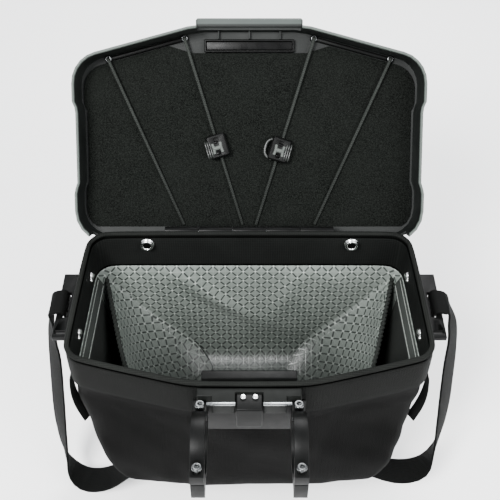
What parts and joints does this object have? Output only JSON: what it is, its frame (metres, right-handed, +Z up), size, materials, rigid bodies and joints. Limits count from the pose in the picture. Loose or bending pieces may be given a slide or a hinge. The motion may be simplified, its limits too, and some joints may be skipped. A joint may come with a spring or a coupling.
{
  "type": "bicycle handlebar bag",
  "caption": "Soft box bag with a hinged moulded lid, elastic cords in the lid, end pockets, a shoulder strap and a clamp bracket for a handlebar",
  "frame": {"origin": "the middle of the handlebar's axis between the two clamps", "axes": "+X is the rider's right, +Y points forward away from the rider, +Z is up"},
  "size_m": [0.2944, 0.2924, 0.2859],
  "materials": {
    "body_cloth": "matt coated nylon",
    "collar_cloth": "ripstop nylon over a stiffener",
    "binding_cloth": "rolled cloth",
    "facing_cloth": "matt nylon",
    "lining_cloth": "thin nylon with a diamond lattice",
    "pocket_cloth": "matt nylon",
    "webbing": "woven webbing",
    "lid_plastic": "fine grain",
    "black_plastic": "satin",
    "grey_plastic": "fine grain",
    "felt": "short pile",
    "elastic_cord": "braided sheath",
    "bright_metal": "polished",
    "dark_metal": "satin"
  },
  "bodies": {
    "bag": {"body_shell": "body_cloth", "collar": "collar_cloth", "rim_binding": "binding_cloth", "facing": "facing_cloth", "lining": "lining_cloth", "end_pocket_left": "lining_cloth", "end_pocket_right": "lining_cloth", "pocket_back_left": "pocket_cloth", "pocket_back_right": "pocket_cloth", "snap_left": "bright_metal", "snap_right": "bright_metal", "end_rivet_left_front": "bright_metal", "end_rivet_left_rear": "bright_metal", "end_rivet_right_front": "bright_metal", "end_rivet_right_rear": "bright_metal", "strap_anchor_left": "black_plastic", "strap_anchor_right": "black_plastic", "shoulder_strap": "webbing", "side_tape_left": "webbing", "side_tape_right": "webbing", "catch_plate": "black_plastic", "mount_plate": "black_plastic", "bracket_bar": "grey_plastic", "release_block": "black_plastic", "block_screw_left": "bright_metal", "block_screw_right": "bright_metal", "clamp_cap_left": "black_plastic", "clamp_cap_right": "black_plastic", "clamp_base_left": "black_plastic", "clamp_base_right": "black_plastic", "clamp_bolt_left_front": "dark_metal", "clamp_bolt_left_rear": "dark_metal", "clamp_bolt_right_front": "dark_metal", "clamp_bolt_right_rear": "dark_metal", "hinge_leaf_bag": "black_plastic", "hinge_pin": "dark_metal"},
    "lid": {"lid_shell": "lid_plastic", "lid_felt": "felt", "latch_frame": "black_plastic", "latch_bar": "black_plastic", "edge_ridge_left": "black_plastic", "edge_ridge_right": "black_plastic", "hinge_leaf_lid": "black_plastic", "cord_lock_left": "black_plastic", "cord_lock_right": "black_plastic", "bungee_inner_left": "elastic_cord", "eyelet_inner_left": "dark_metal", "bungee_outer_left": "elastic_cord", "eyelet_outer_left": "dark_metal", "bungee_inner_right": "elastic_cord", "eyelet_inner_right": "dark_metal", "bungee_outer_right": "elastic_cord", "eyelet_outer_right": "dark_metal"}
  },
  "joints": [
    {"name": "lid_hinge", "type": "hinge", "parent": "bag", "child": "lid", "pos_m": [0, 0.1677, 0.0097], "axis": [1, 0, 0], "range_deg": [0, 127]}
  ]
}
